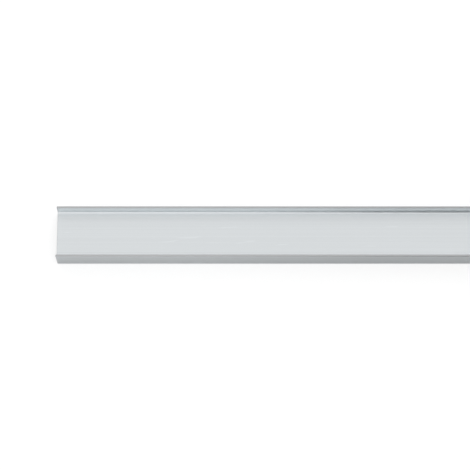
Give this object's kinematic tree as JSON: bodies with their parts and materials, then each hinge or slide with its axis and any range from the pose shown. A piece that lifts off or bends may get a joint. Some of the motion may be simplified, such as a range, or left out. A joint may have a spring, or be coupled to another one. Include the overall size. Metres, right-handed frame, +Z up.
{
  "type": "aluminium h profile",
  "caption": "Straight length of extruded aluminium H section: two parallel flanges joined by a web, for edging, joining or framing panels.",
  "frame": {"origin": "middle of the footprint, on the floor, under the centre of the web", "axes": "+X along the stock, +Y across the two flanges, +Z up, square to the level web"},
  "size_m": [1, 0.048, 0.025],
  "materials": {
    "anodised_aluminium": "matt silver anodised, fine lines along the length"
  },
  "bodies": {
    "root": {"h_profile": "anodised_aluminium"}
  },
  "joints": []
}
